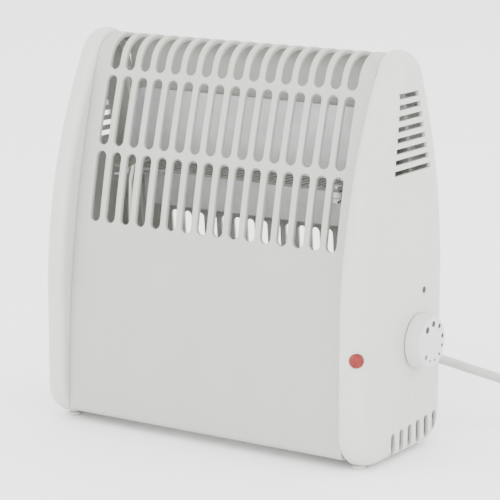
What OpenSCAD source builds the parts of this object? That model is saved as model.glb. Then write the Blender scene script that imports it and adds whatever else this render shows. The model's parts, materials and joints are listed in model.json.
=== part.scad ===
// Small natural-convection heater with a wrap-over grille between two moulded end caps.
// X runs along the width (dial end positive), Y from front to back, Z up from the floor.

/* [Casing] */
// Overall width over the end caps
case_w = 250; // [240:1:262]
// Overall depth of the end caps
case_d = 108; // [106:1:112]
// Overall height
case_h = 260; // [256:1:266]
// Width of one end cap
cap_w = 18; // [18:0.5:19]
// Rounding of a cap's outer edge
side_round = 13; // [12.5:0.1:13.2]
// Rounding of a cap's inner edge, beside the grille
lip_round = 4.5; // [4:0.1:4.8]
// Wall of the mouldings
wall = 2.2; // [2:0.1:2.5]

/* [Grille] */
// Slots in each row
slot_n = 16; // [14:1:16]
// Distance from slot to slot
slot_pitch = 12.22; // [12:0.02:12.4]
// Width of one slot
slot_w = 7.8; // [7:0.1:8.2]
// Depth of the bars between the slots
bar_depth = 3.2; // [2.6:0.1:4]

/* [Dial] */
// Place of the dial's axis behind the middle of the casing
dial_y = 16; // [14:0.5:18]
// Height of the dial's axis
dial_z = 74; // [72:0.5:78]
// Radius of the knob where it meets the casing
knob_r = 17.6; // [17:0.1:18]
// Radius of the knob's face
knob_face_r = 16.3; // [15.5:0.1:16.5]
// How far the knob stands off the casing
knob_out = 11.4; // [11:0.1:12]
// Radius of the circle of dial marks
mark_ring_r = 12.1; // [11.5:0.1:12.4]

/* [Mains cord] */
// Diameter of the cord
cord_d = 6.3; // [6:0.1:6.6]
// Turns' mean diameter in the stored coil
coil_d = 70; // [66:1:74]

/* [Hidden] */
gap = 0.3;

half_w = case_w / 2;
front_y = -case_d / 2;
rear_y = case_d / 2;
crease_x = half_w - cap_w;
side_in = half_w - wall;
// The knob stands out on one side, so the casing moves over to centre the whole.
case_x = -knob_out / 2;

// Arch outlines: [front y, front bulge height, front radius, rear y, rear bulge height,
// height, crest radius, bottom z, bottom corner radius].
cap_arch = [front_y, 85.5, 331, rear_y, 111, case_h, 19.7, 1, 25];
panel_arch = [front_y + 7, 15, 732, rear_y - 3, 60, case_h - 2.7, 20.3, 6.2, 4];
// A cap's underside rises this share of its side inset, which keeps it flat enough to stand.
under_share = 0.55;
inner_ledge = 8;
// Less at the bottom, so that the corner stays below the start of the front curve.
inner_ledge_low = 6.2;
grille_low_z = 133;
seam_z = 222;

row_low = [[136.4, 182.5], [186.4, 231.4]];
crest_slot_front_z = 239.1;
crest_slot_rear_deg = 78;

vent_n = 8;
vent_step = 6.8;
vent_top_z = 233.3;
vent_t = 3.4;
foot_x = half_w - 12.5;
foot_y = 34;
screw_x = crease_x - 8;
screw_zs = [28, 110];
base_screw_x = 84;
lip_y = 34;
base_screw_y = 38.5;
intake_z0 = 62;
intake_z1 = 131.9;
intake_pitch = 10.33;
intake_w = 6.1;
intake_x = -1.6;
keyhole_x = 70;
keyhole_z = 195;

shield_y = 26;
tab_z = 186;
tab_y = rear_surface_y(panel_arch, tab_z - 4.6) - wall - 0.4;
card_z = 170;
card_x0 = -92;
card_x1 = 84;
card_y0 = -14;
card_y1 = 20;
bracket_z = 164.6;
leg_screw_z = bracket_z - 3.3;
shield_z0 = 139;
shield_z1 = 218;
post_xs = [card_x0 + 5, card_x1 - 5];
post_ys = [-8, 13];

floor_in = panel_arch[7] + wall + 1.2;
wire_r = 1.1;

bush_r = 4.8;
spindle_r = 3;
spindle_bore_r = 3.08;
body_x0 = 101.8;
body_half_y = 17;
body_half_z = 15;
cam_x = 108;
cam_w = 4;
cam_r = 6.2;
cam_rise = 0.00444;
lever_pin_y = dial_y - 11;
lever_pin_z = dial_z + 7.2;
mark_d = [4.4, 4.0, 3.2, 3.0, 2.3, 2.1, 1.8, 1.6];

lens_tilt = 38;
lens_z = 74;
lens_x = half_w - side_round + side_round * sin(lens_tilt);
lens_y = front_y + side_round * (1 - cos(lens_tilt));
lens_r = 4.6;

gland_x = 86;
gland_z = 50;
gland_r = 5;
// The cord's way from the strain relief to the coil, chosen by hand.
route = [[92, 76, 47], [97, 84, 44.6], [103, 91, 41.6], [110, 97, 38.3], [118, 102, 35],
    [127, 106, 32.2], [137, 108.5, 29.8], [147, 109.5, 27], [157, 109, 23.5], [167, 107, 19.3],
    [177, 104, 15], [187, 99.5, 11.2], [196, 94, 8], [204, 87, 5.5], [210.5, 79, 4],
    [215, 70, 3.4], [217.5, 60, 3.2], [218, 50, 3.2]];
relief_end = route[0];
coil_x = 253;
coil_y = 40;
coil_r = coil_d / 2;
coil_half_w = 1.5 * cord_d;
coil_h = 2 * cord_d;
plug_x = 253;
plug_y = 42.5;
plug_z = coil_h + 0.1;

function arc_pts(cy, cz, r, a0, a1, n, skip = 0) =
    [for (i = [skip:n]) let (a = a0 + (a1 - a0) * i / n) [cy + r * cos(a), cz + r * sin(a)]];
function crest_z(o) = o[5] - o[6];
function crest_y(o) = o[0] + o[2] - sqrt(pow(o[2] - o[6], 2) - pow(crest_z(o) - o[1], 2));
function rear_r(o) = let (a = crest_y(o) - o[3], dz = crest_z(o) - o[4])
    (o[6] * o[6] - a * a - dz * dz) / (2 * (a + o[6]));
function front_deg(o) = atan2(crest_z(o) - o[1], crest_y(o) - o[0] - o[2]);
function rear_deg(o) = atan2(crest_z(o) - o[4], crest_y(o) - o[3] + rear_r(o));
function front_surface_y(o, z) = o[0] + o[2] - sqrt(pow(o[2], 2) - pow(z - o[1], 2));
function front_lean(o, z) = asin((z - o[1]) / o[2]);
function rear_surface_y(o, z) = o[3] - rear_r(o) + sqrt(pow(rear_r(o), 2) - pow(z - o[4], 2));
function rear_lean(o, z) = asin((z - o[4]) / rear_r(o));

// Arch outline inset by s all round and by t at the bottom, clockwise seen from +X.
function arch(o, s, t) = let (rc = max(o[8] - s, 1.5), zb = o[7] + t)
    concat(arc_pts(o[0] + s + rc, zb + rc, rc, 270, 180, 5),
        arc_pts(o[0] + o[2], o[1], o[2] - s, 180, front_deg(o), 9),
        arc_pts(crest_y(o), crest_z(o), o[6] - s, front_deg(o), rear_deg(o), 7, 1),
        arc_pts(o[3] - rear_r(o), o[4], rear_r(o) - s, rear_deg(o), 0, 9, 1),
        arc_pts(o[3] - s - rc, zb + rc, rc, 0, -90, 5, 0));

// Closed skin through arch outlines; each ring is [x, inset, bottom inset].
module arch_skin(o, rings) {
    m = len(rings);
    n = len(arch(o, rings[0][1], rings[0][2]));
    pts = [for (r = rings) each [for (p = arch(o, r[1], r[2])) [r[0], p[0], p[1]]]];
    sides = [for (k = [0:m - 2], i = [0:n - 1])
        let (a = k * n + i, b = k * n + (i + 1) % n, c = b + n, d = a + n)
        each [[a, b, c], [a, c, d]]];
    first = [for (i = [n - 1:-1:0]) i];
    last = [for (i = [0:n - 1]) (m - 1) * n + i];
    polyhedron(pts, concat([first], sides, [last]), convexity = 4);
}

module placed() {
    translate([case_x, 0, 0]) children();
}

// Turns a drawing in (y, z) into a solid from x0 to x0 + w.
module along_x(x0, w) {
    translate([x0, 0, 0]) rotate([90, 0, 90]) linear_extrude(w) children();
}

module rod_x(x0, x1, y, z, r, fn = 32) {
    translate([x0, y, z]) rotate([0, 90, 0]) cylinder(h = x1 - x0, r = r, $fn = fn);
}

module rod_y(y0, y1, x, z, r, fn = 32) {
    translate([x, y0, z]) rotate([-90, 0, 0]) cylinder(h = y1 - y0, r = r, $fn = fn);
}

module rod_z(z0, z1, x, y, r, fn = 32) {
    translate([x, y, z0]) cylinder(h = z1 - z0, r = r, $fn = fn);
}

module slab(x, y, z) {
    translate([x[0], y[0], z[0]]) cube([x[1] - x[0], y[1] - y[0], z[1] - z[0]]);
}

// Upright slot with round ends, w wide and l long, drawn flat.
module slot_2d(w, l) {
    square([w, l - w], center = true);
    for (s = [-1, 1]) translate([0, s * (l - w) / 2]) circle(d = w, $fn = 32);
}

// Slot through the front from z0 to z1, square to the leaning surface.
module front_slot(x, z0, z1) {
    zm = (z0 + z1) / 2;
    lean = front_lean(panel_arch, zm);
    translate([x, front_surface_y(panel_arch, zm), zm]) rotate([-lean, 0, 0])
        rotate([90, 0, 0]) translate([0, 0, -9]) linear_extrude(18)
            slot_2d(slot_w, (z1 - z0) / cos(lean));
}

// Slot that runs over the crest.
module crest_slot(x) {
    cy = crest_y(panel_arch);
    cz = crest_z(panel_arch);
    fy = front_surface_y(panel_arch, crest_slot_front_z);
    fa = atan2(crest_slot_front_z - cz, fy - cy);
    far_r = 32;
    along_x(x - slot_w / 2, slot_w)
        polygon(concat([[cy, cz]], arc_pts(cy, cz, far_r, fa, crest_slot_rear_deg, 12)));
    for (a = [fa, crest_slot_rear_deg])
        translate([x, cy, cz]) rotate([a - 90, 0, 0]) cylinder(h = far_r, d = slot_w, $fn = 32);
}

function slot_x(i) = (i - (slot_n - 1) / 2) * slot_pitch;

module front_grille() color([0.80, 0.80, 0.78]) placed() difference() {
    along_x(-crease_x, 2 * crease_x) difference() {
        polygon(arch(panel_arch, 0, 0));
        difference() {
            polygon(arch(panel_arch, wall, wall));
            difference() {
                translate([-60, grille_low_z]) square([120, 140]);
                polygon(arch(panel_arch, bar_depth, wall));
            }
        }
        translate([-lip_y, -5]) square([40 + lip_y, 50]);
        translate([0, -5]) square([70, seam_z + gap + 5]);
    }
    for (i = [0:slot_n - 1]) {
        for (r = row_low) front_slot(slot_x(i), r[0], r[1]);
        crest_slot(slot_x(i));
    }
    for (s = [-1, 1]) {
        rod_z(0, floor_in, s * base_screw_x, -base_screw_y, 1.7);
        rod_z(0, panel_arch[7] + 1.2, s * base_screw_x, -base_screw_y, 3.1);
    }
}

module rear_panel() color([0.80, 0.80, 0.78]) placed() difference() {
    along_x(-crease_x, 2 * crease_x) difference() {
        polygon(arch(panel_arch, 0, 0));
        polygon(arch(panel_arch, wall, wall));
        translate([-70, -5]) square([70 + lip_y, 300]);
        translate([0, seam_z]) square([70, 60]);
    }
    for (i = [-8:8])
        translate([intake_x + i * intake_pitch, rear_y, (intake_z0 + intake_z1) / 2])
            rotate([90, 0, 0]) linear_extrude(12) slot_2d(intake_w, intake_z1 - intake_z0);
    for (s = [-1, 1]) {
        rod_y(30, 60, s * keyhole_x, keyhole_z, 4.5);
        slab([s * keyhole_x - 2.2, s * keyhole_x + 2.2], [30, 60], [keyhole_z, keyhole_z + 10]);
        rod_y(30, 60, s * keyhole_x, keyhole_z + 10, 2.2);
        rod_z(0, floor_in, s * base_screw_x, base_screw_y, 1.7);
        rod_z(0, panel_arch[7] + 1.2, s * base_screw_x, base_screw_y, 3.1);
        for (z = screw_zs) rod_y(40, 60, s * screw_x, z, 1.8);
        on_rear(s * 84, tab_z) rod_z(-6, 1, 0, 0, 1.6);
    }
    rod_y(40, 60, gland_x, gland_z, gland_r + 0.1);
}

module base_plate() color([0.72, 0.73, 0.74]) placed() difference() {
    slab([-crease_x + 0.5, crease_x - 0.5], [-43, 43], [panel_arch[7] + wall, floor_in]);
    for (i = [-6:6]) translate([i * 14, 0, 0]) linear_extrude(12) slot_2d(7, 56);
    for (s = [-1, 1], t = [-1, 1]) rod_z(0, 12, s * base_screw_x, t * base_screw_y, 1.4);
}

function lip_ring(k, n) = let (a = 90 * k / n)
    [crease_x + lip_round * (1 - cos(a)), lip_round * (1 - sin(a))];
function edge_ring(k, n) = let (a = 90 * k / n)
    [half_w - side_round + side_round * sin(a), side_round * (1 - cos(a))];
cap_rings = concat([for (k = [0:3]) let (r = lip_ring(k, 3)) [r[0], r[1], r[1]]],
    [for (k = [0:6]) let (r = edge_ring(k, 6)) [r[0], r[1], under_share * r[1]]]);
hollow_round = side_round - wall;
hollow_rings = concat([[crease_x + wall, wall + 0.9, wall + 0.9], [crease_x + 4, wall, wall]],
    [for (k = [0:5]) let (a = 90 * k / 5)
        [side_in - hollow_round * (1 - sin(a)), wall + hollow_round * (1 - cos(a)),
            wall + under_share * hollow_round * (1 - cos(a))]]);

// End cap with its hollow, the window towards the casing and the ears for the rear screws.
module cap_shell() {
    difference() {
        union() {
            difference() {
                arch_skin(cap_arch, cap_rings);
                arch_skin(cap_arch, hollow_rings);
            }
            for (z = screw_zs) slab([crease_x - 14, crease_x + 1], [40, 46.4], [z - 6, z + 6]);
        }
        along_x(crease_x - 1, wall + 2) difference() {
            polygon(arch(panel_arch, inner_ledge, inner_ledge_low));
            for (z = screw_zs) translate([40, z - 6]) square([20, 12]);
        }
        for (t = [-1, 1]) rod_z(-1, 2, foot_x, t * foot_y, 4.1);
        for (z = screw_zs) rod_y(36, 50, screw_x, z, 1.4);
    }
}

// Louvre row i: [height, front end, rear end].
function vent_row(i) = [vent_top_z - vent_step * i, -9.6 - 0.84 * i, 12.9 + 2.3 * i];

module louvres() {
    for (i = [0:vent_n - 1]) {
        r = vent_row(i);
        slab([half_w - 6, half_w + 1], [r[1], r[2]], [r[0] - vent_t / 2, r[0] + vent_t / 2]);
    }
}

// Round-ended upright slots along the foot of a cap's side face.
module foot_vents() {
    for (i = [0:5]) translate([half_w - 6, -13.5 + 10.5 * i, 11.5 + 0.68 * i])
        rotate([0, 0, 90]) rotate([90, 0, 0]) linear_extrude(12) slot_2d(5.4, 15);
}

module end_cap_right() color([0.84, 0.84, 0.82]) placed() difference() {
    cap_shell();
    louvres();
    foot_vents();
    rod_x(side_in - 1, half_w + 1, dial_y, dial_z, bush_r + 0.3);
    rod_x(half_w - 0.5, half_w + 1, dial_y + 7.5, dial_z + 31.5, 2.2);
    lens_axis() translate([0, 0, -6]) cylinder(h = 12, r = lens_r - 0.6, $fn = 32);
    lens_axis() translate([0, 0, -1]) cylinder(h = 4, r = lens_r + 0.1, $fn = 32);
}

module end_cap_left() color([0.84, 0.84, 0.82]) placed() difference() {
    mirror([1, 0, 0]) cap_shell();
    mirror([1, 0, 0]) {
        louvres();
        foot_vents();
    }
}

module rubber_feet() color([0.75, 0.75, 0.74]) placed()
    for (s = [-1, 1], t = [-1, 1]) rod_z(0, 2, s * foot_x, t * foot_y, 4);

// Places a drawing on the rear panel's outer face, its +Z pointing out of the face.
module on_rear(x, z) {
    translate([x, rear_surface_y(panel_arch, z), z])
        rotate([rear_lean(panel_arch, z) - 90, 0, 0]) children();
}

module heat_shield() color([0.76, 0.77, 0.78]) placed() difference() {
    union() {
        slab([-96, 96], [shield_y, shield_y + 0.8], [shield_z0, shield_z1]);
        for (s = [-1, 1]) {
            slab([s * 96 - 0.4, s * 96 + 0.4], [shield_y - 14, shield_y + 0.8], [178, shield_z1]);
            slab([s * 84 - 6, s * 84 + 6], [shield_y, tab_y], [tab_z - 5, tab_z - 4.2]);
            on_rear(s * 84, tab_z) slab([-6, 6], [-5, 5], [-wall - 0.9, -wall - 0.1]);
        }
    }
    for (s = [-1, 1]) on_rear(s * 84, tab_z) rod_z(-6, 1, 0, 0, 1.6);
    for (x = post_xs) rod_y(20, 30, x, leg_screw_z, 1.6);
    for (dx = [-9, 9]) rod_y(20, 30, 40 + dx, 172, 1.2);
}

module shield_screws() color([0.6, 0.6, 0.62]) placed() for (s = [-1, 1])
    on_rear(s * 84, tab_z) {
        rod_z(0.05, 1.7, 0, 0, 2.8);
        rod_z(-5, 0.05, 0, 0, 1.5);
    }

module element_card() color([0.45, 0.44, 0.38]) placed() difference() {
    slab([card_x0, card_x1], [card_y0, card_y1], [card_z, card_z + 1.2]);
    for (x = post_xs, y = post_ys) rod_z(card_z - 1, card_z + 2, x, y, 1.6);
}

ribbon_n = 30;
ribbon_pitch = 5;
ribbon_x0 = -77;
ribbon_half = 15;

// One ribbon in a square zigzag along the card.
module element_ribbon() color([0.55, 0.53, 0.48]) placed()
    translate([ribbon_x0, (card_y0 + card_y1) / 2, card_z + 1.2]) linear_extrude(0.5) {
        for (i = [0:ribbon_n]) translate([i * ribbon_pitch - 0.9, -ribbon_half]) square([1.8, 2 * ribbon_half]);
        for (i = [0:ribbon_n - 1]) translate([i * ribbon_pitch - 0.9, i % 2 == 0 ? ribbon_half - 1.8 : -ribbon_half])
            square([ribbon_pitch + 1.8, 1.8]);
    }

module element_brackets() color([0.7, 0.71, 0.72]) placed() for (x = post_xs) difference() {
    union() {
        slab([x - 5, x + 5], [card_y0, shield_y], [bracket_z, bracket_z + 1]);
        slab([x - 5, x + 5], [shield_y - 1, shield_y], [bracket_z - 6.5, bracket_z + 1]);
    }
    for (y = post_ys) rod_z(bracket_z - 1, bracket_z + 2, x, y, 1.6);
    rod_y(20, 30, x, leg_screw_z, 1.6);
}

module element_insulators() color([0.93, 0.92, 0.88]) placed()
    for (x = post_xs, y = post_ys) difference() {
        rod_z(bracket_z + 1, card_z, x, y, 3);
        rod_z(bracket_z, card_z + 1, x, y, 1.6);
    }

module element_screws() color([0.6, 0.6, 0.62]) placed() {
    for (x = post_xs, y = post_ys) {
        rod_z(card_z + 1.2, card_z + 3, x, y, 2.8);
        rod_z(bracket_z - 3, card_z + 1.2, x, y, 1.5);
        difference() {
            translate([x, y, bracket_z - 2.4]) cylinder(h = 2.4, r = 3, $fn = 6);
            rod_z(bracket_z - 4, bracket_z + 1, x, y, 1.5);
        }
    }
    for (x = post_xs) {
        rod_y(shield_y - 3, shield_y - 1, x, leg_screw_z, 2.6);
        rod_y(shield_y - 1, shield_y + 3, x, leg_screw_z, 1.5);
    }
}

module thermal_cutout() color([0.25, 0.22, 0.2]) placed() difference() {
    union() {
        rod_y(shield_y + 0.8, shield_y + 7, 40, 172, 7);
        slab([28, 52], [shield_y + 0.8, shield_y + 1.6], [168.5, 175.5]);
        for (s = [-1, 1]) slab([40 + 3.5 * s - 0.4, 40 + 3.5 * s + 0.4],
            [shield_y + 6, shield_y + 13], [169, 175]);
    }
    for (dx = [-9, 9]) rod_y(20, 30, 40 + dx, 172, 1.2);
}

module body_box(x0, x1, s) {
    slab([x0, x1], [dial_y - body_half_y + s, dial_y + body_half_y - s],
        [dial_z - body_half_z + s, dial_z + body_half_z - s]);
}

module thermostat_body() color([0.9, 0.89, 0.84]) placed() difference() {
    union() {
        difference() {
            body_box(body_x0, side_in, 0);
            body_box(body_x0 - 1, side_in - 2, 2);
        }
        slab([113, side_in - 1], [dial_y + 12, dial_y + 16], [dial_z + 8.2, dial_z + 9.6]);
    }
    rod_x(side_in - 3, side_in + 1, dial_y, dial_z, bush_r);
    rod_x(side_in - 3, side_in - 1, lever_pin_y, lever_pin_z, 1.2);
}

module thermostat_base() color([0.35, 0.2, 0.14]) placed() difference() {
    body_box(body_x0 - 2, body_x0, 0);
    slab([90, 110], [dial_y + 8.6, dial_y + 12.6], [dial_z - 2.6, dial_z - 1.8]);
}

module thermostat_bush() color([0.75, 0.66, 0.35]) placed() difference() {
    union() {
        rod_x(side_in - 3.2, side_in - 2, dial_y, dial_z, 6.4);
        rod_x(side_in - 2, half_w + 3, dial_y, dial_z, bush_r);
    }
    rod_x(90, 140, dial_y, dial_z, spindle_bore_r);
}

module bush_nut() color([0.72, 0.72, 0.74]) placed() difference() {
    translate([half_w, dial_y, dial_z]) rotate([0, 90, 0])
        cylinder(h = 2.2, r = 6.5 / cos(30), $fn = 6);
    rod_x(120, 140, dial_y, dial_z, bush_r);
}

module thermostat_spindle() color([0.75, 0.66, 0.35]) placed()
    rod_x(cam_x - 3, half_w + knob_out - 3, dial_y, dial_z, spindle_r);

// Cam radius at angle a, which grows evenly and then ramps back.
function cam_radius(a) = a <= 160 ? cam_r + cam_rise * (a - 90)
    : let (u = (a - 160) / 50) (1 - u) * (cam_r + cam_rise * 70) + u * (cam_r - cam_rise * 240);

module thermostat_cam() color([0.92, 0.9, 0.85]) placed() difference() {
    along_x(cam_x, cam_w) translate([dial_y, dial_z])
        polygon([for (a = [-150:6:204]) cam_radius(a) * [cos(a), sin(a)]]);
    rod_x(cam_x - 1, cam_x + cam_w + 1, dial_y, dial_z, spindle_r);
}

module contact_lever() color([0.78, 0.68, 0.4]) placed() difference() {
    union() {
        slab([cam_x, cam_x + cam_w], [lever_pin_y - 2, dial_y + 12.4], [dial_z + 6.4, dial_z + 7.9]);
        rod_x(cam_x, cam_x + cam_w, lever_pin_y, lever_pin_z, 2.5);
        slab([cam_x, cam_x + cam_w], [dial_y + 8.8, dial_y + 12.4], [dial_z + 3.6, dial_z + 7]);
    }
    rod_x(100, 120, lever_pin_y, lever_pin_z, 1.26);
}

module lever_pin() color([0.7, 0.7, 0.72]) placed() {
    rod_x(cam_x - 1.2, cam_x - 0.4, lever_pin_y, lever_pin_z, 2.1);
    rod_x(cam_x - 0.4, side_in - 1, lever_pin_y, lever_pin_z, 1.2);
}

module fixed_contact() color([0.78, 0.68, 0.4]) placed() {
    slab([body_x0 - 10, cam_x + cam_w], [dial_y + 8.6, dial_y + 12.6], [dial_z - 2.6, dial_z - 1.8]);
    rod_z(dial_z - 1.8, dial_z + 1, cam_x + 2, dial_y + 10.6, 1.6);
}

module bimetal_strip() color([0.6, 0.58, 0.52]) placed()
    slab([113.5, 117.5], [dial_y - 12, dial_y + 15], [dial_z + 9.6, dial_z + 10.4]);

module control_knob() color([0.86, 0.86, 0.85]) placed() difference() {
    translate([half_w + 0.4, dial_y, dial_z]) rotate([0, 90, 0]) rotate_extrude($fn = 64)
        polygon(concat([[0, 0], [knob_r, 0]],
            arc_pts(knob_face_r - 1, knob_out - 1.4, 1, 10, 90, 4), [[0, knob_out - 0.4]]));
    rod_x(half_w, half_w + 4, dial_y, dial_z, 8.6);
    rod_x(half_w, half_w + knob_out - 3, dial_y, dial_z, spindle_r);
    for (i = [0:len(mark_d) - 1]) at_mark(i)
        rod_x(half_w + knob_out - 0.4, half_w + knob_out + 1, 0, 0, mark_d[i] / 2);
}

// The marks sit wider apart at the warm end of the scale.
function mark_deg(i) = i < 4 ? -39 + 39.5 * i : 79.5 + 29.7 * (i - 3);

module at_mark(i) {
    translate([0, dial_y + mark_ring_r * sin(mark_deg(i)), dial_z + mark_ring_r * cos(mark_deg(i))])
        children();
}

module dial_marks() color([0.25, 0.25, 0.26]) placed() {
    for (i = [0:len(mark_d) - 1]) at_mark(i)
        rod_x(half_w + knob_out - 0.4, half_w + knob_out, 0, 0, mark_d[i] / 2);
    at_mark(8) for (a = [0, 60, 120]) rotate([a, 0, 0])
        slab([half_w + knob_out, half_w + knob_out + 0.1], [-0.22, 0.22], [-1.9, 1.9]);
}

module index_mark() color([0.25, 0.25, 0.26]) placed()
    rod_x(half_w - 0.5, half_w, dial_y + 7.5, dial_z + 31.5, 2.2);

module lens_axis() {
    translate([lens_x, lens_y, lens_z]) rotate([90, 0, lens_tilt]) children();
}

module indicator_lens() color([0.86, 0.28, 0.16]) placed() lens_axis() difference() {
    union() {
        translate([0, 0, -1]) cylinder(h = 1.6, r = lens_r, $fn = 48);
        translate([0, 0, 0.6]) cylinder(h = 0.5, r1 = lens_r, r2 = lens_r - 0.6, $fn = 48);
        translate([0, 0, -5]) cylinder(h = 4, r = lens_r - 0.7, $fn = 48);
    }
    translate([0, 0, -6]) cylinder(h = 4, r = lens_r - 1.5, $fn = 32);
}

module neon_lamp() color([0.9, 0.6, 0.4]) placed() lens_axis() {
    translate([0, 0, -7]) cylinder(h = 4.9, r = 2, $fn = 24);
}

module terminal_block() color([0.9, 0.9, 0.88]) placed() difference() {
    slab([40, 73], [-6, 10], [floor_in, 22]);
    for (i = [0:2]) {
        rod_y(-8, 12, 46 + 10.5 * i, 13, 2.4, 24);
        for (y = [-1, 6]) rod_z(13, 23, 46 + 10.5 * i, y, 1.8, 24);
    }
}

module terminal_screws() color([0.75, 0.66, 0.35]) placed()
    for (i = [0:2], y = [-1, 6]) rod_z(15, 20, 46 + 10.5 * i, y, 1.6, 24);

module live_wire() color([0.45, 0.28, 0.16]) placed()
    tube([[56.5, -5, 13], [56.5, -13, 13.5], [60, -20, 18], [68, -24, 26], [78, -21, 38],
        [86, -12, 51], [91, -2, 62], [95, 4.5, 70], [99.7, 4.5, 70]], wire_r, 8);

module heater_link() color([0.85, 0.84, 0.8]) placed()
    tube([[91.7, dial_y + 10.6, dial_z - 2.2], [86, 26.4, 73], [80, 25, 80], [75, 22, 95],
        [71, 23.6, 120], [70, 23.6, 150], [69.9, 23.4, 166], [69.8, 20.8, 172.6],
        [69.6, 13, 172.85]],
        wire_r, 8);

module neutral_wire() color([0.2, 0.35, 0.65]) placed()
    tube([[46, -5, 13], [46, -13, 13.2], [40, -22, 15], [26, -28, 20], [6, -30, 26],
        [-20, -29, 34], [-45, -26, 46], [-62, -20, 62], [-70, -20, 85], [-74, -20, 110],
        [-75, -19.5, 135], [-75, -18.5, 163], [-74.6, -16.2, 171.8], [-74, -9, 172.85]], wire_r, 8);

module earth_wire() color([0.45, 0.6, 0.2]) placed()
    tube([[67, -5, 13], [67, -12, 13], [70, -19, 13.2], [76, -23, 13.3], [85, -24, 13.4]],
        wire_r, 8);

module earth_stud() color([0.75, 0.66, 0.35]) placed() {
    rod_z(floor_in, 16, 86.5, -24, 1.4);
    translate([86.5, -24, floor_in]) cylinder(h = 2.4, r = 3, $fn = 6);
}

module cord_tail() color([0.82, 0.83, 0.81]) placed()
    tube([[gland_x, 46.8, gland_z], [gland_x, 43.5, gland_z], [gland_x, 39.5, gland_z - 3], [84.5, 36, 38], [80, 34, 24],
        [72, 31, 15.5], [64, 27.5, 13.2], [58.5, 22.5, 13], [57, 17, 13], [57, 10.1, 13]],
        cord_d / 2);

// Tapered sleeve with a collar on each side of the rear panel.
module strain_relief() color([0.80, 0.81, 0.80]) placed() difference() {
    union() {
        rod_y(46.2, 48.4, gland_x, gland_z, gland_r + 1.5);
        rod_y(46.2, 53, gland_x, gland_z, gland_r);
        rod_y(51.1, 53, gland_x, gland_z, gland_r + 1.8);
        hull() {
            rod_y(53, 53.5, gland_x, gland_z, gland_r + 0.2);
            relief_tip(0.5, cord_d / 2 + 0.8);
        }
    }
    rod_y(44, 46.9, gland_x, gland_z, cord_d / 2 + 0.05);
}

module relief_tip(h, r) {
    d = route[1] - route[0];
    translate(relief_end) rotate([0, acos(d[2] / norm(d)), atan2(d[1], d[0])])
        translate([0, 0, -h]) cylinder(h = h, r = r, $fn = 32);
}

module cord_clamp() color([0.9, 0.9, 0.88]) placed() difference() {
    slab([48, 66], [13, 16.8], [floor_in, 18.6]);
    rod_y(10, 20, 57, 13, cord_d / 2);
    for (dx = [-6.5, 6.5]) rod_z(12, 20, 57 + dx, 14.9, 1.3);
}

module clamp_screws() color([0.6, 0.6, 0.62]) placed() for (dx = [-6.5, 6.5]) {
    rod_z(18.6, 20.2, 57 + dx, 14.9, 1.8);
    rod_z(12, 18.6, 57 + dx, 14.9, 1.25);
}

module casing_screws() color([0.78, 0.78, 0.78]) placed() for (s = [-1, 1], z = screw_zs) {
    y = z > 60 ? rear_y - 4.35 : rear_y - 3;
    rod_y(y, y + 1.8, s * screw_x, z, 3.2);
    rod_y(36.5, y, s * screw_x, z, 1.35);
}

module base_screws() color([0.78, 0.78, 0.78]) placed()
    for (s = [-1, 1], t = [-1, 1]) {
        rod_z(panel_arch[7], panel_arch[7] + 1.2, s * base_screw_x, t * base_screw_y, 3);
        rod_z(panel_arch[7] + 1.2, 10.5, s * base_screw_x, t * base_screw_y, 1.35);
    }

function unit(v) = v / norm(v);
// Ring of a tube about point i of a path; the ring's first axis stays level.
function tube_ring(path, i, r, n) = let (
    d = unit(path[min(i + 1, len(path) - 1)] - path[max(i - 1, 0)]),
    u = unit(cross([0, 0, 1], d)), v = cross(d, u))
    [for (k = [0:n - 1]) path[i] + r * (cos(360 * k / n) * u + sin(360 * k / n) * v)];

module tube(path, r, n = 10) {
    m = len(path);
    pts = [for (i = [0:m - 1]) each tube_ring(path, i, r, n)];
    sides = [for (i = [0:m - 2], k = [0:n - 1])
        let (a = i * n + k, b = i * n + (k + 1) % n) each [[a, a + n, b + n], [a, b + n, b]]];
    polyhedron(pts, concat([[for (k = [0:n - 1]) k]], sides,
        [[for (k = [n - 1:-1:0]) (m - 1) * n + k]]));
}

module mains_cord() color([0.80, 0.81, 0.79]) placed() tube(route, cord_d / 2);

module cord_coil() color([0.80, 0.81, 0.79]) placed() difference() {
    translate([coil_x, coil_y, 0]) rotate_extrude($fn = 64)
        translate([coil_r - coil_half_w, 0]) square([2 * coil_half_w, coil_h]);
    slab([coil_x - coil_r - 20, coil_x - coil_r + coil_half_w - cord_d / 2],
        [route[len(route) - 1][1] - 0.1, 90], [-1, 7]);
}

module coil_tie() color([0.15, 0.15, 0.16]) placed() difference() {
    slab([coil_x - 4, coil_x + 4], [coil_y - coil_r - coil_half_w - 1, coil_y - coil_r + coil_half_w + 1],
        [0, coil_h + 1]);
    translate([coil_x, coil_y, -1]) rotate_extrude($fn = 64)
        translate([coil_r - coil_half_w, 0]) square([2 * coil_half_w, coil_h + 1]);
}

module plug_outline(s) {
    offset(r = 6 - s, $fn = 24) polygon([[-19, -20], [19, -20], [20, 8], [12, 19], [-12, 19], [-20, 8]]);
}

module plug_body() color([0.86, 0.86, 0.85]) placed() difference() {
    translate([plug_x, plug_y, plug_z]) {
        linear_extrude(14) plug_outline(0);
        translate([0, 0, 14]) linear_extrude(4) plug_outline(2);
    }
    translate([plug_x - 8.2, plug_y - 8, plug_z + 17]) cube([16.4, 26, 2]);
}

module plug_fuse_cover() color([0.80, 0.80, 0.79]) placed()
    translate([plug_x - 8, plug_y - 7.8, plug_z + 17]) cube([16, 25.6, 1.2]);

module plug_pins() color([0.78, 0.68, 0.4]) placed() translate([plug_x, plug_y, plug_z + 18]) {
    translate([-2, -22 + 8, 0]) cube([4, 4, 22]);
    for (s = [-1, 1]) translate([s * 15 - 3.2, 2, 0]) cube([6.4, 4, 17.7]);
}

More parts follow.
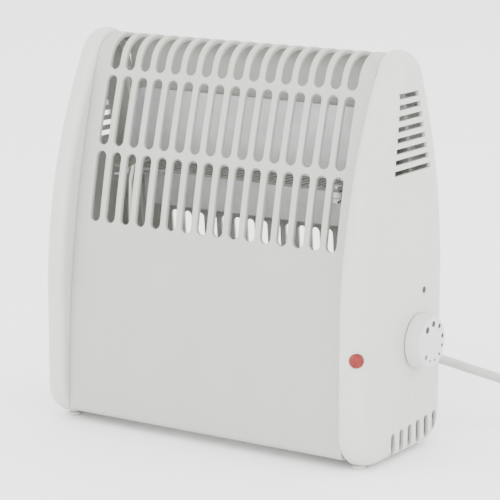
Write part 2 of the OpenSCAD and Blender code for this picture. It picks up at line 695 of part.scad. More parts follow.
front_grille();
rear_panel();
base_plate();
end_cap_right();
end_cap_left();
rubber_feet();
heat_shield();
element_card();
element_ribbon();
element_brackets();
element_insulators();
element_screws();
thermal_cutout();
thermostat_body();
thermostat_base();
thermostat_bush();
bush_nut();
thermostat_spindle();
thermostat_cam();
contact_lever();
lever_pin();
fixed_contact();
bimetal_strip();
control_knob();
dial_marks();
index_mark();
indicator_lens();
neon_lamp();
terminal_block();
terminal_screws();
live_wire();
neutral_wire();
heater_link();
earth_wire();
earth_stud();
cord_tail();
strain_relief();
cord_clamp();
clamp_screws();
casing_screws();
base_screws();
shield_screws();
mains_cord();
cord_coil();
coil_tie();
plug_body();
plug_pins();
plug_fuse_cover();
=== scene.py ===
"""Looks of a small convector heater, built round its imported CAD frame. Units are metres."""
import json
import math

import bmesh
import bpy
from mathutils import Matrix, Vector


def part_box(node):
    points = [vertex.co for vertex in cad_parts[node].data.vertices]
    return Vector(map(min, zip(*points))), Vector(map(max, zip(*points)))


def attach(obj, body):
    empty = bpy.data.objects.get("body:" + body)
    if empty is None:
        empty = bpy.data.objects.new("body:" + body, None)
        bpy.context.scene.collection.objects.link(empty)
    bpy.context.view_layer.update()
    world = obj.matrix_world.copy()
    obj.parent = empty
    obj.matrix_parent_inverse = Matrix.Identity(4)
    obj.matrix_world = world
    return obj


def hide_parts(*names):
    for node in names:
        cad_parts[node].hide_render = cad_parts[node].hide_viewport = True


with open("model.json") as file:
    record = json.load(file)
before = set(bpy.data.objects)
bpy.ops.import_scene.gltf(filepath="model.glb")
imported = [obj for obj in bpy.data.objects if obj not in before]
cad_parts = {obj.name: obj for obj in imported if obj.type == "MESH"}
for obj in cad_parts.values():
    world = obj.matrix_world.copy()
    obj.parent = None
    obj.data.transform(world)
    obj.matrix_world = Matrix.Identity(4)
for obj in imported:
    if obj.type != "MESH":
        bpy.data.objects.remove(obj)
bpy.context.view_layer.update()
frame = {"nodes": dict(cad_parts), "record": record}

MM = 0.001
CASING = "casing"
DIAL = "dial"

# Casing, worked out from the frame: the end caps give its width, depth and height.
cap_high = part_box("end_cap_right")[1]
left_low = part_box("end_cap_left")[0]
CASE_X = (cap_high[0] + left_low[0]) / 2 / MM
HALF_W = (cap_high[0] - left_low[0]) / 2 / MM
HALF_D = cap_high[1] / MM
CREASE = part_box("front_grille")[1][0] / MM - CASE_X
SIDE_ROUND = 13
LIP_ROUND = 4.5
WALL = 2.2
UNDER_SHARE = 0.55
# Arch: front y, front bulge z, front radius, rear y, rear bulge z, height, crest radius,
# bottom z, bottom corner radius, all in mm.
CAP_ARCH = (-HALF_D, 85.5, 331, HALF_D, 111, 260, 19.7, 1, 25)
PANEL_ARCH = (-HALF_D + 7, 15, 732, HALF_D - 3, 60, 257.3, 20.3, 6.2, 4)


# --- Camera and cords -------------------------------------------------------------------

def add_camera():
    """Camera at the photograph's angle."""
    data = bpy.data.cameras.new("camera")
    data.lens = 171.6
    data.sensor_width = 36
    data.clip_end = 20
    cam = bpy.data.objects.new("camera", data)
    cam.location = (0.8423, -1.2731, 0.4447)
    cam.rotation_euler = (math.radians(90 - 11.95), 0, math.radians(33.43))
    bpy.context.collection.objects.link(cam)
    bpy.context.scene.camera = cam


# Radius of each curve point. Blender widens a curve's box by it, so it is kept small.
POINT_R = 0.001


def curve_object(name, points, radius):
    """Round tube through points, in metres, as a smooth curve."""
    data = bpy.data.curves.new(name, "CURVE")
    data.dimensions = "3D"
    data.bevel_depth = radius / POINT_R
    data.bevel_resolution = 6
    data.use_fill_caps = True
    spline = data.splines.new("NURBS")
    spline.points.add(len(points) - 1)
    for point, place in zip(spline.points, points):
        point.co = (*place, 1)
        point.radius = POINT_R
    spline.order_u = 3
    spline.use_endpoint_u = True
    spline.resolution_u = 8
    obj = bpy.data.objects.new(name, data)
    bpy.context.collection.objects.link(obj)
    return obj


CORD_D = 6.3
# The cord's way from the strain relief to the coil, as in the CAD, in mm from the casing.
ROUTE = [
    (92, 76, 47), (97, 84, 44.6), (103, 91, 41.6), (110, 97, 38.3), (118, 102, 35),
    (127, 106, 32.2), (137, 108.5, 29.8), (147, 109.5, 27), (157, 109, 23.5),
    (167, 107, 19.3), (177, 104, 15), (187, 99.5, 11.2), (196, 94, 8), (204, 87, 5.5),
    (210.5, 79, 4), (215, 70, 3.4), (217.5, 60, 3.2), (218, 50, 3.2),
]
COIL_CENTRE = (253, 40)
COIL_R = 35
PER_TURN = 20
CROSSOVER = 4
LAY_GAP = 0.05


def case_point(x, y, z):
    """Point in mm from the casing's middle, in metres in the frame."""
    return Vector(((x + CASE_X) * MM, y * MM, z * MM))


def coil_points():
    """Turns of the stored cord, three side by side and two high, and the way between them."""
    # Each lane is the turn's offset from the mean radius and the height of its centre.
    low, high = CORD_D / 2 + LAY_GAP, CORD_D * 1.5 + 2 * LAY_GAP
    lanes = [(0, low), (-CORD_D, low), (CORD_D, low), (CORD_D, high), (0, high), (-CORD_D, high)]
    points = []
    for (offset, height), nxt in zip(lanes, lanes[1:] + lanes[-1:]):
        for i in range(PER_TURN):
            a = math.pi + 2 * math.pi * i / PER_TURN
            blend = max(0.0, (i - PER_TURN + CROSSOVER) / CROSSOVER)
            ease = blend * blend * (3 - 2 * blend)
            r = COIL_R + offset + (nxt[0] - offset) * ease
            z = height + (nxt[1] - height) * ease
            points.append((COIL_CENTRE[0] + r * math.cos(a), COIL_CENTRE[1] + r * math.sin(a), z))
    return points


add_camera()
route = [case_point(*p) for p in ROUTE]
turns = [case_point(*p) for p in coil_points()][1:]
cord_path = route + turns
mains = curve_object("mains_cord_sheath", cord_path, CORD_D / 2 * MM)
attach(mains, CASING)
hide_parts("mains_cord", "cord_coil")
node = frame["nodes"]

# --- Materials --------------------------------------------------------------------------

def new_material(name):
    mat = bpy.data.materials.new(name)
    mat.use_nodes = True
    return mat, mat.node_tree, mat.node_tree.nodes["Principled BSDF"]


def noise(tree, scale, detail):
    coord = tree.nodes.new("ShaderNodeTexCoord")
    tex = tree.nodes.new("ShaderNodeTexNoise")
    tex.inputs["Scale"].default_value = scale
    tex.inputs["Detail"].default_value = detail
    tex.inputs["Roughness"].default_value = 0.55
    tree.links.new(coord.outputs["Object"], tex.inputs["Vector"])
    return tex


def ramp(tree, source, low, high, start=0.3, end=0.7):
    """Colour or grey between low and high as source goes from start to end."""
    node_ramp = tree.nodes.new("ShaderNodeValToRGB")
    node_ramp.color_ramp.elements[0].position = start
    node_ramp.color_ramp.elements[1].position = end
    node_ramp.color_ramp.elements[0].color = (*low, 1)
    node_ramp.color_ramp.elements[1].color = (*high, 1)
    tree.links.new(source, node_ramp.inputs["Fac"])
    return node_ramp.outputs["Color"]


def bump(tree, bsdf, source, strength, distance):
    node_bump = tree.nodes.new("ShaderNodeBump")
    node_bump.inputs["Strength"].default_value = strength
    node_bump.inputs["Distance"].default_value = distance
    tree.links.new(source, node_bump.inputs["Height"])
    tree.links.new(node_bump.outputs["Normal"], bsdf.inputs["Normal"])


def shade(color, k):
    return tuple(min(1.0, c * k) for c in color)


def plastic(name, color, rough=0.38, grain=0.12, coat=0.0, mottle=0.03):
    """Moulded plastic: faint mottle, a fine spark-eroded grain and uneven gloss."""
    mat, tree, bsdf = new_material(name)
    soft = noise(tree, 18, 3)
    fine = noise(tree, 1400, 2)
    tree.links.new(ramp(tree, soft.outputs["Fac"], shade(color, 1 - mottle), shade(color, 1 + mottle / 2)),
                   bsdf.inputs["Base Color"])
    tree.links.new(ramp(tree, soft.outputs["Fac"], (rough - 0.05,) * 3, (rough + 0.05,) * 3),
                   bsdf.inputs["Roughness"])
    bump(tree, bsdf, fine.outputs["Fac"], grain, 0.0002)
    bsdf.inputs["Coat Weight"].default_value = coat
    bsdf.inputs["Specular IOR Level"].default_value = 0.5
    return mat


def metal(name, color, rough=0.35, streak=True):
    """Sheet or turned metal with rolling streaks and dull patches."""
    mat, tree, bsdf = new_material(name)
    tex = noise(tree, 60, 5)
    tree.links.new(ramp(tree, tex.outputs["Fac"], shade(color, 0.86), color), bsdf.inputs["Base Color"])
    tree.links.new(ramp(tree, tex.outputs["Fac"], (rough + 0.12,) * 3, (rough - 0.05,) * 3),
                   bsdf.inputs["Roughness"])
    bsdf.inputs["Metallic"].default_value = 1.0
    if streak:
        coord = tree.nodes.new("ShaderNodeTexCoord")
        stretch = tree.nodes.new("ShaderNodeMapping")
        stretch.inputs["Scale"].default_value = (40, 40, 900)
        lines = tree.nodes.new("ShaderNodeTexNoise")
        lines.inputs["Scale"].default_value = 3
        tree.links.new(coord.outputs["Object"], stretch.inputs["Vector"])
        tree.links.new(stretch.outputs["Vector"], lines.inputs["Vector"])
        bump(tree, bsdf, lines.outputs["Fac"], 0.12, 0.0002)
    return mat


def soft_plastic(name, color, rough=0.5):
    """Flexible PVC or rubber, slightly uneven, with a fine skin."""
    mat, tree, bsdf = new_material(name)
    tex = noise(tree, 240, 3)
    tree.links.new(ramp(tree, tex.outputs["Fac"], shade(color, 0.94), color), bsdf.inputs["Base Color"])
    bsdf.inputs["Roughness"].default_value = rough
    bump(tree, bsdf, tex.outputs["Fac"], 0.15, 0.0002)
    return mat


def lens_plastic(name, color):
    """Glossy coloured lens, unevenly deep in colour."""
    mat, tree, bsdf = new_material(name)
    tex = noise(tree, 320, 2)
    tree.links.new(ramp(tree, tex.outputs["Fac"], shade(color, 0.6), color, 0.35, 0.65),
                   bsdf.inputs["Base Color"])
    bsdf.inputs["Roughness"].default_value = 0.12
    bsdf.inputs["Coat Weight"].default_value = 0.2
    bsdf.inputs["Specular IOR Level"].default_value = 0.35
    return mat


def mica_board(name):
    mat, tree, bsdf = new_material(name)
    tex = noise(tree, 130, 6)
    # Dark grey, far darker than bare mica: the board's own tone darkened as painted shade for the dark
    # band under the bar above it.
    tree.links.new(ramp(tree, tex.outputs["Fac"], (0.10, 0.10, 0.085), (0.20, 0.198, 0.17)),
                   bsdf.inputs["Base Color"])
    bsdf.inputs["Roughness"].default_value = 0.45
    bump(tree, bsdf, tex.outputs["Fac"], 0.2, 0.0003)
    return mat


MATERIALS = {
    "casing_plastic": plastic("casing_plastic", (0.52, 0.522, 0.495), 0.36, 0.10),
    "panel_white": plastic("panel_white", (0.38, 0.385, 0.352), 0.42, 0.10),
    "knob_white": plastic("knob_white", (0.57, 0.575, 0.565), 0.28, 0.05, coat=0.15),
    "mark_grey": plastic("mark_grey", (0.022, 0.022, 0.024), 0.6, 0.05),
    "lens_orange": lens_plastic("lens_orange", (0.20, 0.004, 0.001)),
    "zinc_steel": metal("zinc_steel", (0.66, 0.67, 0.68), 0.55),
    "brass": metal("brass", (0.72, 0.52, 0.22), 0.3, False),
    "mica": mica_board("mica"),
    # Ribbon: dark oxidised metal, darkened further as painted shade, like the mica board.
    "ribbon": metal("ribbon", (0.26, 0.255, 0.24), 0.5, False),
    "ceramic": plastic("ceramic", (0.80, 0.79, 0.72), 0.25, 0.05, coat=0.3),
    "phenolic": plastic("phenolic", (0.07, 0.035, 0.02), 0.4, 0.2),
    "rubber_pale": soft_plastic("rubber_pale", (0.5, 0.5, 0.48), 0.7),
    "rubber_dark": soft_plastic("rubber_dark", (0.02, 0.02, 0.02), 0.7),
    "cord_pvc": soft_plastic("cord_pvc", (0.44, 0.452, 0.43), 0.38),
    "neon_glass": plastic("neon_glass", (0.9, 0.55, 0.35), 0.1, 0.02, coat=0.5),
    "wire_brown": soft_plastic("wire_brown", (0.12, 0.05, 0.025), 0.45),
    "wire_green": soft_plastic("wire_green", (0.22, 0.38, 0.04), 0.45),
    "wire_white": soft_plastic("wire_white", (0.7, 0.69, 0.63), 0.75),
    "screw_steel": metal("screw_steel", (0.6, 0.6, 0.61), 0.3, False),
}
node_slot = {s["node"]: s["material_slot"] for s in frame["record"]["subparts"]}


def dress(obj, slot_name):
    obj.data.materials.clear()
    obj.data.materials.append(MATERIALS[slot_name])


for node_name, cad_obj in node.items():
    dress(cad_obj, node_slot[node_name])
dress(mains, "cord_pvc")


# --- Mesh helpers -----------------------------------------------------------------------

def arc(cy, cz, r, a0, a1, n, skip=0):
    """Points of an arc in (y, z), a0 and a1 in degrees."""
    out = []
    for i in range(skip, n + 1):
        a = math.radians(a0 + (a1 - a0) * i / n)
        out.append((cy + r * math.cos(a), cz + r * math.sin(a)))
    return out


def arch_facts(o):
    """Crest centre, rear radius and the angles where the arcs meet."""
    f, zf, rf, b, zr, h, rt, _, _ = o
    zt = h - rt
    yt = f + rf - math.sqrt((rf - rt) ** 2 - (zt - zf) ** 2)
    a, dz = yt - b, zt - zr
    rr = (rt * rt - a * a - dz * dz) / (2 * (a + rt))
    front = math.degrees(math.atan2(zt - zf, yt - f - rf))
    rear = math.degrees(math.atan2(dz, yt - b + rr))
    return yt, zt, rr, front, rear


def arch(o, s, t, fine=3):
    """Arch outline inset by s, and by t at the bottom, from the bottom front round to the rear."""
    f, zf, rf, b, zr, _, rt, z0, rb = o
    yt, zt, rr, front, rear = arch_facts(o)
    rc, zb = max(rb - s, 1.5), z0 + t
    return (arc(f + s + rc, zb + rc, rc, 270, 180, 5 * fine)
            + arc(f + rf, zf, rf - s, 180, front, 9 * fine)
            + arc(yt, zt, rt - s, front, rear, 8 * fine, 1)
            + arc(b - rr, zr, rr - s, rear, 0, 9 * fine, 1)
            + arc(b - s - rc, zb + rc, rc, 0, -90, 5 * fine))


def mesh_object(name, verts, faces):
    """Smooth-shaded mesh from verts in mm, with its normals turned outwards."""
    data = bpy.data.meshes.new(name)
    data.from_pydata([tuple(c * MM for c in v) for v in verts], [], faces)
    data.validate()
    obj = bpy.data.objects.new(name, data)
    bpy.context.collection.objects.link(obj)
    bm = bmesh.new()
    bm.from_mesh(data)
    bmesh.ops.recalc_face_normals(bm, faces=bm.faces)
    bm.to_mesh(data)
    bm.free()
    data.shade_smooth()
    return obj


def skin(name, o, rings):
    """Closed skin through arch outlines; each ring is (x, inset, bottom inset) in casing mm."""
    verts, faces = [], []
    for x, s, t in rings:
        verts += [(x + CASE_X, y, z) for y, z in arch(o, s, t)]
    n = len(verts) // len(rings)
    for k in range(len(rings) - 1):
        for i in range(n):
            a, b = k * n + i, k * n + (i + 1) % n
            faces.append((a, b, b + n, a + n))
    faces.append(tuple(range(n)))
    faces.append(tuple(range(n * (len(rings) - 1), n * len(rings))))
    return mesh_object(name, verts, faces)


def prism(outline, x0, x1):
    """Verts and faces of a (y, z) outline drawn out from x0 to x1 in casing mm."""
    n = len(outline)
    verts = [(x + CASE_X, y, z) for x in (x0, x1) for y, z in outline]
    faces = [(i, (i + 1) % n, (i + 1) % n + n, i + n) for i in range(n)]
    return verts, faces + [tuple(range(n)), tuple(range(n, 2 * n))]


def join_parts(parts):
    verts, faces = [], []
    for v, f in parts:
        base = len(verts)
        verts += v
        faces += [tuple(i + base for i in face) for face in f]
    return verts, faces


def apply_modifiers(obj):
    depsgraph = bpy.context.evaluated_depsgraph_get()
    result = bpy.data.meshes.new_from_object(obj.evaluated_get(depsgraph))
    obj.modifiers.clear()
    old = obj.data
    obj.data = result
    bpy.data.meshes.remove(old)


def cut(obj, tool):
    """Takes tool's shape away from obj and removes the tool."""
    mod = obj.modifiers.new("cut", "BOOLEAN")
    mod.operation = "DIFFERENCE"
    mod.solver = "EXACT"
    mod.object = tool
    apply_modifiers(obj)
    bpy.data.objects.remove(tool)


def soften(obj, width, segments=2, angle=35):
    """Rounds the sharp edges and shades the rest smooth."""
    mod = obj.modifiers.new("round", "BEVEL")
    mod.width = width * MM
    mod.segments = segments
    mod.limit_method = "ANGLE"
    mod.angle_limit = math.radians(angle)
    apply_modifiers(obj)
    smooth_by_angle(obj, 40)


def smooth_by_angle(obj, degrees):
    obj.data.shade_smooth()
    obj.data.set_sharp_from_angle(angle=math.radians(degrees))


def finish_piece(obj, body, slot_name, *nodes):
    dress(obj, slot_name)
    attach(obj, body)
    if nodes:
        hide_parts(*nodes)


# --- End caps ---------------------------------------------------------------------------

def quarter(n):
    """Angles of a quarter turn in n steps."""
    return [math.radians(90 * k / n) for k in range(n + 1)]


cap_rings = [(CREASE + LIP_ROUND * (1 - math.cos(a)), LIP_ROUND * (1 - math.sin(a)),
              LIP_ROUND * (1 - math.sin(a))) for a in quarter(8)]
cap_rings += [(HALF_W - SIDE_ROUND * (1 - math.sin(a)), SIDE_ROUND * (1 - math.cos(a)),
               UNDER_SHARE * SIDE_ROUND * (1 - math.cos(a))) for a in quarter(18)]
HOLLOW_ROUND = SIDE_ROUND - WALL
# The hollow starts narrower by this much and has its full size this far past the crease.
HOLLOW_LEAD = 0.9
HOLLOW_FULL_X = 4
hollow_rings = [(CREASE + WALL, WALL + HOLLOW_LEAD, WALL + HOLLOW_LEAD),
                (CREASE + HOLLOW_FULL_X, WALL, WALL)]
hollow_rings += [(HALF_W - WALL - HOLLOW_ROUND * (1 - math.sin(a)),
                  WALL + HOLLOW_ROUND * (1 - math.cos(a)),
                  WALL + UNDER_SHARE * HOLLOW_ROUND * (1 - math.cos(a))) for a in quarter(8)]


def stadium(across, low, high, w, n=12):
    """Round-ended slot w wide, from low to high, centred on across."""
    r = w / 2
    return arc(across, high - r, r, 0, 180, n) + arc(across, low + r, r, 180, 360, n)


def box_outline(y0, y1, z0, z1, r=0.35):
    """Nearly square-cornered slot as a (y, z) outline."""
    out = []
    for cy, cz, a in ((y1 - r, z1 - r, 0), (y0 + r, z1 - r, 90), (y0 + r, z0 + r, 180),
                      (y1 - r, z0 + r, 270)):
        out += arc(cy, cz, r, a, a + 90, 3)
    return out


FOOT_N = 6
FOOT_Y = -13.5
FOOT_PITCH = 10.5
FOOT_Z = 11.5
FOOT_RISE = 0.68
FOOT_W = 5.4
FOOT_H = 15
VENT_N = 8
VENT_TOP_Z = 233.3
VENT_STEP = 6.8
VENT_T = 3.4
# Ends of the top louvre in y, and how far each one below it reaches past the last.
VENT_ENDS = (-9.6, 12.9)
VENT_GROWTH = (-0.84, 2.3)
WINDOW_INSET = (8, 6.2)
CUT_REACH = 6
DIAL_HOLE_R = 5.1


def foot_slots(x0, x1):
    out = []
    for i in range(FOOT_N):
        z = FOOT_Z + FOOT_RISE * i
        slot = stadium(FOOT_Y + FOOT_PITCH * i, z - FOOT_H / 2, z + FOOT_H / 2, FOOT_W, 10)
        out.append(prism(slot, x0, x1))
    return out


def louvres(x0, x1):
    out = []
    for i in range(VENT_N):
        z = VENT_TOP_Z - VENT_STEP * i
        y0, y1 = (end + grow * i for end, grow in zip(VENT_ENDS, VENT_GROWTH))
        out.append(prism(box_outline(y0, y1, z - VENT_T / 2, z + VENT_T / 2), x0, x1))
    return out


def make_cap(name, side):
    """End cap as one hollow moulding; side is 1 on the right and -1 on the left."""
    def turned(rings):
        return [(side * x, s, t) for x, s, t in rings]

    cap = skin(name, CAP_ARCH, turned(cap_rings))
    cut(cap, skin("hollow", CAP_ARCH, turned(hollow_rings)))
    x0, x1 = sorted((side * (CREASE - 1), side * (CREASE + WALL + 1)))
    cut(cap, mesh_object("window", *prism(arch(PANEL_ARCH, *WINDOW_INSET, 1), x0, x1)))
    side_x = sorted((side * (HALF_W - CUT_REACH), side * (HALF_W + CUT_REACH)))
    parts = foot_slots(*side_x) + louvres(*side_x)
    if side > 0:
        knob_low, knob_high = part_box("control_knob")
        dial_y = (knob_low[1] + knob_high[1]) / 2 / MM
        dial_z = (knob_low[2] + knob_high[2]) / 2 / MM
        parts.append(prism(arc(dial_y, dial_z, DIAL_HOLE_R, 0, 345, 23), HALF_W - 4, HALF_W + 2))
    cut(cap, mesh_object("slots", *join_parts(parts)))
    if side > 0:
        cut(cap, lens_seat())
    soften(cap, 0.25, 2, 42)
    return cap


LENS_TILT = math.radians(38)
LENS_Z = 74
LENS_R = 4.6
LENS_GAP = 0.15
LENS_SEAT_DEPTH = 1.6
LENS_AT = Vector((HALF_W - SIDE_ROUND + SIDE_ROUND * math.sin(LENS_TILT),
                  -HALF_D + SIDE_ROUND * (1 - math.cos(LENS_TILT)), LENS_Z))


def spun(name, profile, steps=64):
    """Solid of revolution about local Z from (radius, height) points in mm, closed at both ends."""
    verts, faces = [], []
    for r, h in profile:
        for k in range(steps):
            a = 2 * math.pi * k / steps
            verts.append((r * math.cos(a), r * math.sin(a), h))
    for j in range(len(profile) - 1):
        for k in range(steps):
            a, b = j * steps + k, j * steps + (k + 1) % steps
            faces.append((a, b, b + steps, a + steps))
    faces.append(tuple(range(steps)))
    faces.append(tuple(range((len(profile) - 1) * steps, len(profile) * steps)))
    return mesh_object(name, verts, faces)


def place(obj, at, direction):
    """Turns obj's local Z to direction and moves it to at, in mm from the casing."""
    turn = Vector(direction).to_track_quat("Z", "Y").to_matrix().to_4x4()
    matrix = Matrix.Translation(case_point(*at)) @ turn
    obj.data.transform(matrix)
    obj.data.update()
    return obj


lens_out = Vector((math.sin(LENS_TILT), -math.cos(LENS_TILT), 0))


def lens_seat():
    r = LENS_R + LENS_GAP
    return place(spun("seat", [(r, -LENS_SEAT_DEPTH), (r, 5)]), LENS_AT, lens_out)


for cap_name, cap_side in (("end_cap_right", 1), ("end_cap_left", -1)):
    cap_piece = make_cap(cap_name + "_moulding", cap_side)
    finish_piece(cap_piece, CASING, "casing_plastic", cap_name)


# --- Sheets that wrap round the casing --------------------------------------------------

class Wrap:
    """A profile in (y, z) that a flat plate is bent along; u is the length along it."""

    def __init__(self, points):
        self.points = [Vector(p) for p in points]
        self.at = [0.0]
        for a, b in zip(self.points, self.points[1:]):
            self.at.append(self.at[-1] + (b - a).length)
        self.length = self.at[-1]

    def locate(self, u):
        u = min(max(u, 0.0), self.length)
        low, high = 0, len(self.at) - 1
        while high - low > 1:
            mid = (low + high) // 2
            if self.at[mid] <= u:
                low = mid
            else:
                high = mid
        return low, (u - self.at[low]) / max(self.at[low + 1] - self.at[low], 1e-9)

    def place(self, u, depth):
        """Point at length u and depth below the outer face."""
        i, w = self.locate(u)
        a, b = self.points[i], self.points[i + 1]
        prev = self.points[max(i - 1, 0)]
        nxt = self.points[min(i + 2, len(self.points) - 1)]
        tangent = ((b - prev).normalized() * (1 - w) + (nxt - a).normalized() * w).normalized()
        inward = Vector((tangent[1], -tangent[0]))
        p = a.lerp(b, w) + inward * depth
        return p[0], p[1]

    def u_at(self, z, rear=False):
        """Length where the front, or the rear, is at height z."""
        pairs = list(zip(self.points, self.points[1:], self.at))
        if rear:
            pairs = pairs[::-1]
        for a, b, u in pairs:
            lo, hi = (b[1], a[1]) if rear else (a[1], b[1])
            if lo <= z <= hi and hi > lo:
                w = (z - a[1]) / (b[1] - a[1])
                return u + w * (b - a).length
        raise ValueError("no point at height %s" % z)


LIP_Y = 34
BASE_SCREW_X = 84
BASE_SCREW_Y = 38.5
BASE_SCREW_R = 3.1


def panel_profile():
    low = PANEL_ARCH[7]
    return [(-LIP_Y, low)] + arch(PANEL_ARCH, 0, 0, 6) + [(LIP_Y, low)]


def circle(cx, cu, r, n=32):
    """Round hole as (x, u) points."""
    angles = (2 * math.pi * k / n for k in range(n))
    return [(cx + r * math.cos(t), cu + r * math.sin(t)) for t in angles]


def lip_holes(u):
    """Seats of the two base screws of one lip."""
    return [circle(s * BASE_SCREW_X, u, BASE_SCREW_R) for s in (-1, 1)]


def plate_curve(name, outlines, thickness, rounding):
    """Flat plate with holes and rounded edges, as a mesh in (x, u, depth)."""
    data = bpy.data.curves.new(name, "CURVE")
    data.dimensions = "2D"
    data.fill_mode = "BOTH"
    data.extrude = (thickness / 2 - rounding) * MM
    data.bevel_depth = rounding * MM
    data.bevel_resolution = 2
    data.offset = -rounding * MM
    for outline in outlines:
        spline = data.splines.new("POLY")
        spline.points.add(len(outline) - 1)
        for point, (x, u) in zip(spline.points, outline):
            point.co = (x * MM, u * MM, 0, 1)
        spline.use_cyclic_u = True
    obj = bpy.data.objects.new(name, data)
    bpy.context.collection.objects.link(obj)
    depsgraph = bpy.context.evaluated_depsgraph_get()
    mesh = bpy.data.meshes.new_from_object(obj.evaluated_get(depsgraph))
    bpy.data.objects.remove(obj)
    out = bpy.data.objects.new(name, mesh)
    bpy.context.collection.objects.link(out)
    return out


def wrap_plate(obj, wrap, thickness, depth_at, step):
    """Bends a flat plate along the profile; depth_at(u) scales its thickness."""
    bm = bmesh.new()
    bm.from_mesh(obj.data)
    bmesh.ops.remove_doubles(bm, verts=bm.verts, dist=0.00002)
    u = 0.0
    cuts = []
    while u < wrap.length:
        cuts.append(u)
        u += step(u)
    for u in cuts:
        bmesh.ops.bisect_plane(bm, geom=bm.verts[:] + bm.edges[:] + bm.faces[:], dist=0.000001,
                               plane_co=(0, u * MM, 0), plane_no=(0, 1, 0))
    half = thickness / 2
    for v in bm.verts:
        x, u, d = v.co[0] / MM, v.co[1] / MM, half - v.co[2] / MM
        y, z = wrap.place(u, d * depth_at(u))
        v.co = case_point(x, y, z)
    bmesh.ops.recalc_face_normals(bm, faces=bm.faces)
    bm.to_mesh(obj.data)
    bm.free()
    smooth_by_angle(obj, 35)


EDGE_GAP = 0.05
SLOT_N = 16
SLOT_PITCH = 12.22
SLOT_W = 7.8
BAR_DEPTH = 3.2
GRILLE_ROUND = 0.55
REAR_ROUND = 0.4
GRILLE_LOW_Z = 133
SEAM_Z = 222
ROWS_Z = ((136.4, 182.5), (186.4, 231.4))
# The third row starts on the front and ends behind the crest.
CREST_ROW_Z = (235.2, 255.7)
INTAKE_X = -1.6
INTAKE_PITCH = 10.33
INTAKE_W = 6.1
INTAKE_Z = (62, 131.9)
INTAKE_N = 17
KEY_AT = (70, 195)
KEY_R = 4.5
KEY_NECK_R = 2.2
KEY_DROP = 10
GLAND_AT = (86, 50)
GLAND_R = 5.1

profile = Wrap(panel_profile())


def smoothstep(lo, hi, v):
    w = min(max((v - lo) / (hi - lo), 0.0), 1.0)
    return w * w * (3 - 2 * w)


def make_grille():
    u_end = profile.u_at(SEAM_Z + 0.3, rear=True)
    x = CREASE - EDGE_GAP
    outlines = [[(-x, 0), (x, 0), (x, u_end), (-x, u_end)]]
    outlines += lip_holes(BASE_SCREW_Y - LIP_Y)
    rows = [(profile.u_at(a), profile.u_at(b)) for a, b in ROWS_Z]
    rows.append((profile.u_at(CREST_ROW_Z[0]), profile.u_at(CREST_ROW_Z[1], rear=True)))
    for i in range(SLOT_N):
        cx = (i - (SLOT_N - 1) / 2) * SLOT_PITCH
        outlines += [stadium(cx, a, b, SLOT_W) for a, b in rows]
    plate = plate_curve("front_grille_moulding", outlines, BAR_DEPTH, GRILLE_ROUND)
    u_low = profile.u_at(GRILLE_LOW_Z)

    def depth_at(u):
        return WALL / BAR_DEPTH + (1 - WALL / BAR_DEPTH) * smoothstep(u_low - 2, u_low + 0.5, u)

    u_crest = profile.u_at(240)

    def step(u):
        """Length of the next bend: short round the foot, fairly short over the crest."""
        if u < 24:
            return 1.0
        return 1.6 if u_crest - 6 < u < u_crest + 62 else 4.0

    wrap_plate(plate, profile, BAR_DEPTH, depth_at, step)
    return plate


def keyhole(cx, cu):
    """Round hole for a screw head with a narrow slot above it, as (x, u) points."""
    neck = math.asin(KEY_NECK_R / KEY_R)
    out = []
    for k in range(25):
        t = -math.pi / 2 + neck + (2 * math.pi - 2 * neck) * k / 24
        out.append((cx + KEY_R * math.cos(t), cu + KEY_R * math.sin(t)))
    for k in range(9):
        t = math.pi + math.pi * k / 8
        out.append((cx + KEY_NECK_R * math.cos(t), cu - KEY_DROP + KEY_NECK_R * math.sin(t)))
    return out


def make_rear():
    total = profile.length
    u_start = profile.u_at(SEAM_Z, rear=True)
    x = CREASE - EDGE_GAP
    outlines = [[(-x, u_start), (x, u_start), (x, total), (-x, total)]]
    outlines += lip_holes(total - (BASE_SCREW_Y - LIP_Y))
    a, b = profile.u_at(INTAKE_Z[1], rear=True), profile.u_at(INTAKE_Z[0], rear=True)
    outlines += [stadium(INTAKE_X + INTAKE_PITCH * (i - INTAKE_N // 2), a, b, INTAKE_W)
                 for i in range(INTAKE_N)]
    u_key = profile.u_at(KEY_AT[1], rear=True)
    outlines += [keyhole(s * KEY_AT[0], u_key) for s in (-1, 1)]
    outlines.append(circle(GLAND_AT[0], profile.u_at(GLAND_AT[1], rear=True), GLAND_R))
    plate = plate_curve("rear_panel_moulding", outlines, WALL, REAR_ROUND)
    wrap_plate(plate, profile, WALL, lambda u: 1.0, lambda u: 1.0 if u > total - 26 else 4.0)
    return plate


finish_piece(make_grille(), CASING, "panel_white", "front_grille")
finish_piece(make_rear(), CASING, "panel_white", "rear_panel")


# --- Small pieces with rounded edges ----------------------------------------------------

def rounded(name, width):
    """A small piece of the casing as in the CAD, with its sharp edges rounded."""
    obj = bpy.data.objects.new(name + "_rounded", node[name].data.copy())
    obj.data.transform(node[name].matrix_world)
    bpy.context.collection.objects.link(obj)
    bm = bmesh.new()
    bm.from_mesh(obj.data)
    bmesh.ops.remove_doubles(bm, verts=bm.verts, dist=0.000002)
    bmesh.ops.dissolve_limit(bm, angle_limit=math.radians(0.5), verts=bm.verts, edges=bm.edges)
    bm.to_mesh(obj.data)
    bm.free()
    soften(obj, width, 3, 32)
    finish_piece(obj, CASING, node_slot[name], name)
    return obj


KNOB_FACE_R = 16.3
KNOB_RIM = 1.5
KNOB_FOOT = 0.4
PRINT_LIFT = 0.06


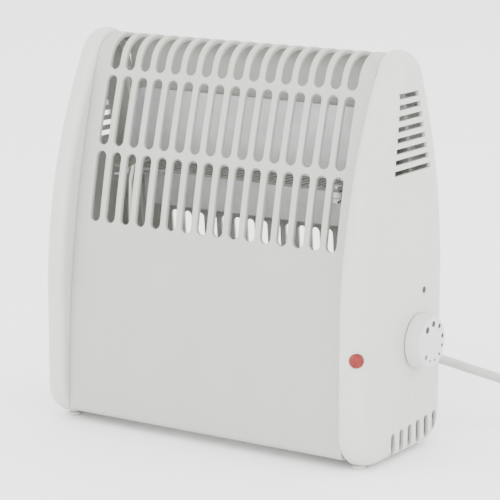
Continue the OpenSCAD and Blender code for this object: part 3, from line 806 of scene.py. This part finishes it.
def make_knob():
    """Tapered dial with a rounded rim."""
    low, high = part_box("control_knob")
    r, height = (high[2] - low[2]) / 2 / MM, (high[0] - low[0]) / MM
    centre = Vector((low[0] / MM - CASE_X, (low[1] + high[1]) / 2 / MM, (low[2] + high[2]) / 2 / MM))
    rim = [(KNOB_FACE_R - KNOB_RIM * (1 - math.cos(a)), height - KNOB_RIM * (1 - math.sin(a)))
           for a in quarter(8)]
    knob = spun("control_knob_turned", [(r - KNOB_FOOT, 0), (r, KNOB_FOOT)] + rim, 96)
    return place(knob, centre, Vector((1, 0, 0)))


def printed(name, body):
    """Marks as in the CAD, lifted just clear of the face that they are printed on."""
    obj = bpy.data.objects.new(name + "_print", node[name].data.copy())
    obj.data.transform(node[name].matrix_world)
    for v in obj.data.vertices:
        v.co[0] += PRINT_LIFT * MM
    bpy.context.collection.objects.link(obj)
    finish_piece(obj, body, node_slot[name], name)


knob_piece = make_knob()
smooth_by_angle(knob_piece, 30)
finish_piece(knob_piece, DIAL, "knob_white", "control_knob")
printed("dial_marks", DIAL)
printed("index_mark", CASING)
for small_name, edge in (("indicator_lens", 0.5), ("rubber_feet", 0.3), ("casing_screws", 0.25),
                         ("base_screws", 0.2), ("shield_screws", 0.25)):
    rounded(small_name, edge)
on_cord = [rounded(small_name, edge) for small_name, edge in
           (("strain_relief", 0.3), ("coil_tie", 0.3), ("plug_body", 0.6), ("plug_pins", 0.25),
            ("plug_fuse_cover", 0.15))]


# --- Stage and light --------------------------------------------------------------------

def area_light(name, at, target, size, power):
    data = bpy.data.lights.new(name, "AREA")
    data.shape = "SQUARE"
    data.size = size
    data.energy = power
    obj = bpy.data.objects.new(name, data)
    obj.location = at
    obj.rotation_euler = (Vector(target) - Vector(at)).to_track_quat("-Z", "Y").to_euler()
    bpy.context.collection.objects.link(obj)


def add_stage():
    floor_mesh = bpy.data.meshes.new("floor")
    r = 6.0
    floor_mesh.from_pydata([(-r, -r, 0), (r, -r, 0), (r, r, 0), (-r, r, 0)], [], [(0, 1, 2, 3)])
    floor = bpy.data.objects.new("floor", floor_mesh)
    floor.location.z = -0.0002
    bpy.context.collection.objects.link(floor)
    floor_mesh.materials.append(plastic("floor_white", (0.95, 0.95, 0.95), 0.8, 0.0, mottle=0.004))
    world = bpy.data.worlds.new("studio")
    world.use_nodes = True
    world.node_tree.nodes["Background"].inputs["Color"].default_value = (1, 1, 1, 1)
    world.node_tree.nodes["Background"].inputs["Strength"].default_value = 3.1
    bpy.context.scene.world = world


add_stage()
centre = (0, 0, 0.13)
area_light("key", (-0.5, -1.6, 1.5), centre, 1.4, 20)
area_light("front", (0.5, -1.9, 0.55), centre, 0.8, 14)
area_light("side", (1.9, 0.2, 0.9), centre, 1.2, 22)
area_light("top", (0.2, 0.6, 1.9), centre, 1.5, 8)
